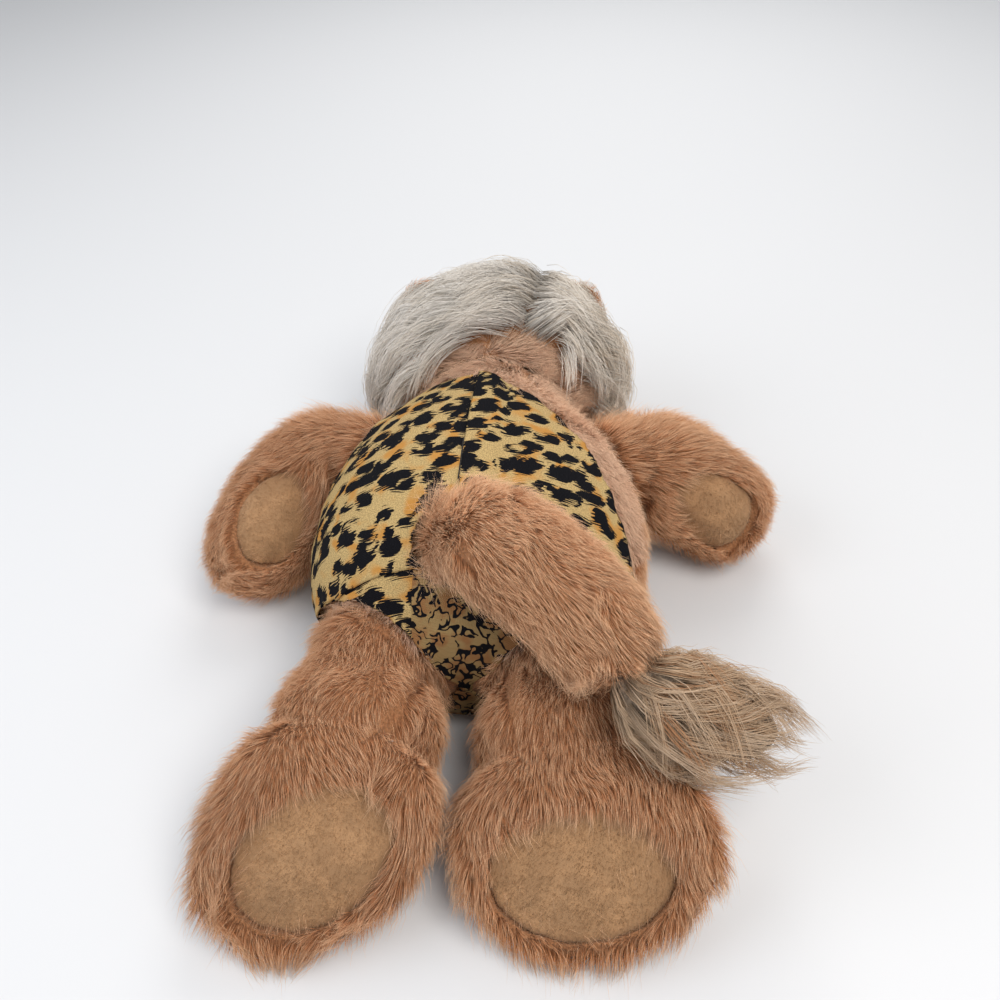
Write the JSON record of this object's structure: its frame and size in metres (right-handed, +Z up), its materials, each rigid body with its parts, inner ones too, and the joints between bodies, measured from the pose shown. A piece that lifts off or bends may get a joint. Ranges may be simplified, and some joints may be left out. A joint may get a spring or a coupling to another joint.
{
  "type": "plush lion",
  "caption": "Stuffed toy lion lying on its belly, with a long mane, a tufted tail, velour paw pads and a one-shoulder leopard-print leotard.",
  "frame": {"origin": "on the floor plane under the middle of the belly, on the flat where the leotard rests", "axes": "+Z up, +Y along the back to the head, +X to the side of the lion's right arm as it lies on its belly"},
  "size_m": [0.3163, 0.39, 0.146],
  "materials": {
    "tan_plush": "short tan fur fabric with a brushed pile of about ten millimetres",
    "pad_velour": "pale beige velour with a short even pile",
    "mane_plush": "long cream fur fabric in loose locks",
    "fibre_stuffing": "white polyester fibre fill",
    "leopard_print": "light woven cloth printed in a yellow and black leopard pattern",
    "closure_tape": "woven hook and loop tape",
    "black_plastic": "moulded, polished",
    "washer_plastic": "moulded washer behind the fabric",
    "mouth_thread": "embroidered thread"
  },
  "bodies": {
    "torso": {"body_skin": "tan_plush", "body_stuffing": "fibre_stuffing", "leotard_front": "leopard_print", "leotard_back_left": "leopard_print", "leotard_back_right": "leopard_print", "leotard_gusset": "leopard_print", "leotard_strap": "leopard_print", "hook_tape": "closure_tape", "loop_tape": "closure_tape"},
    "neck": {"neck_stuffing": "fibre_stuffing"},
    "head": {"head_skin": "tan_plush", "head_stuffing": "fibre_stuffing", "muzzle_skin": "pad_velour", "muzzle_stuffing": "fibre_stuffing", "left_eye": "black_plastic", "right_eye": "black_plastic", "left_eye_washer": "washer_plastic", "right_eye_washer": "washer_plastic", "nose": "black_plastic", "nose_washer": "washer_plastic", "mouth_stitch": "mouth_thread", "mane": "mane_plush"},
    "left_ear": {"left_ear": "tan_plush", "left_ear_lining": "pad_velour"},
    "right_ear": {"right_ear": "tan_plush", "right_ear_lining": "pad_velour"},
    "left_arm": {"left_arm_skin": "tan_plush", "left_arm_stuffing": "fibre_stuffing", "left_arm_paw_pad": "pad_velour"},
    "right_arm": {"right_arm_skin": "tan_plush", "right_arm_stuffing": "fibre_stuffing", "right_arm_paw_pad": "pad_velour"},
    "left_leg": {"left_leg_skin": "tan_plush", "left_leg_stuffing": "fibre_stuffing", "left_leg_sole_pad": "pad_velour"},
    "right_leg": {"right_leg_skin": "tan_plush", "right_leg_stuffing": "fibre_stuffing", "right_leg_sole_pad": "pad_velour"},
    "tail": {"tail_skin": "tan_plush", "tail_stuffing": "fibre_stuffing", "tail_tuft": "mane_plush"}
  },
  "joints": [
    {"name": "neck_turn", "type": "hinge", "parent": "torso", "child": "neck", "pos_m": [0, 0.084, 0.063], "axis": [0, 1, 0], "range_deg": [-30, 30]},
    {"name": "head_nod", "type": "hinge", "parent": "neck", "child": "head", "pos_m": [0, 0.084, 0.063], "axis": [1, 0, 0], "range_deg": [-18, 18]},
    {"name": "left_ear_bend", "type": "hinge", "parent": "head", "child": "left_ear", "pos_m": [-0.04518, 0.1681, 0.08921], "axis": [-0.7894, -0.3521, -0.5028], "range_deg": [-18, 18]},
    {"name": "right_ear_bend", "type": "hinge", "parent": "head", "child": "right_ear", "pos_m": [0.04518, 0.1681, 0.08921], "axis": [-0.7894, 0.3521, 0.5028], "range_deg": [-18, 18]},
    {"name": "left_shoulder", "type": "hinge", "parent": "torso", "child": "left_arm", "pos_m": [-0.069, 0.06, 0.051], "axis": [0, 1, 0], "range_deg": [-20, 45]},
    {"name": "right_shoulder", "type": "hinge", "parent": "torso", "child": "right_arm", "pos_m": [0.069, 0.06, 0.051], "axis": [0, -1, 0], "range_deg": [-20, 45]},
    {"name": "left_hip", "type": "hinge", "parent": "torso", "child": "left_leg", "pos_m": [-0.0445, -0.068, 0.041], "axis": [-1, 0, 0], "range_deg": [-20, 20]},
    {"name": "right_hip", "type": "hinge", "parent": "torso", "child": "right_leg", "pos_m": [0.0445, -0.068, 0.041], "axis": [-1, 0, 0], "range_deg": [-20, 0]},
    {"name": "tail_lift", "type": "hinge", "parent": "torso", "child": "tail", "pos_m": [-0.009, -0.041, 0.098], "axis": [-0.6402, -0.7682, 0], "range_deg": [0, 45]}
  ]
}
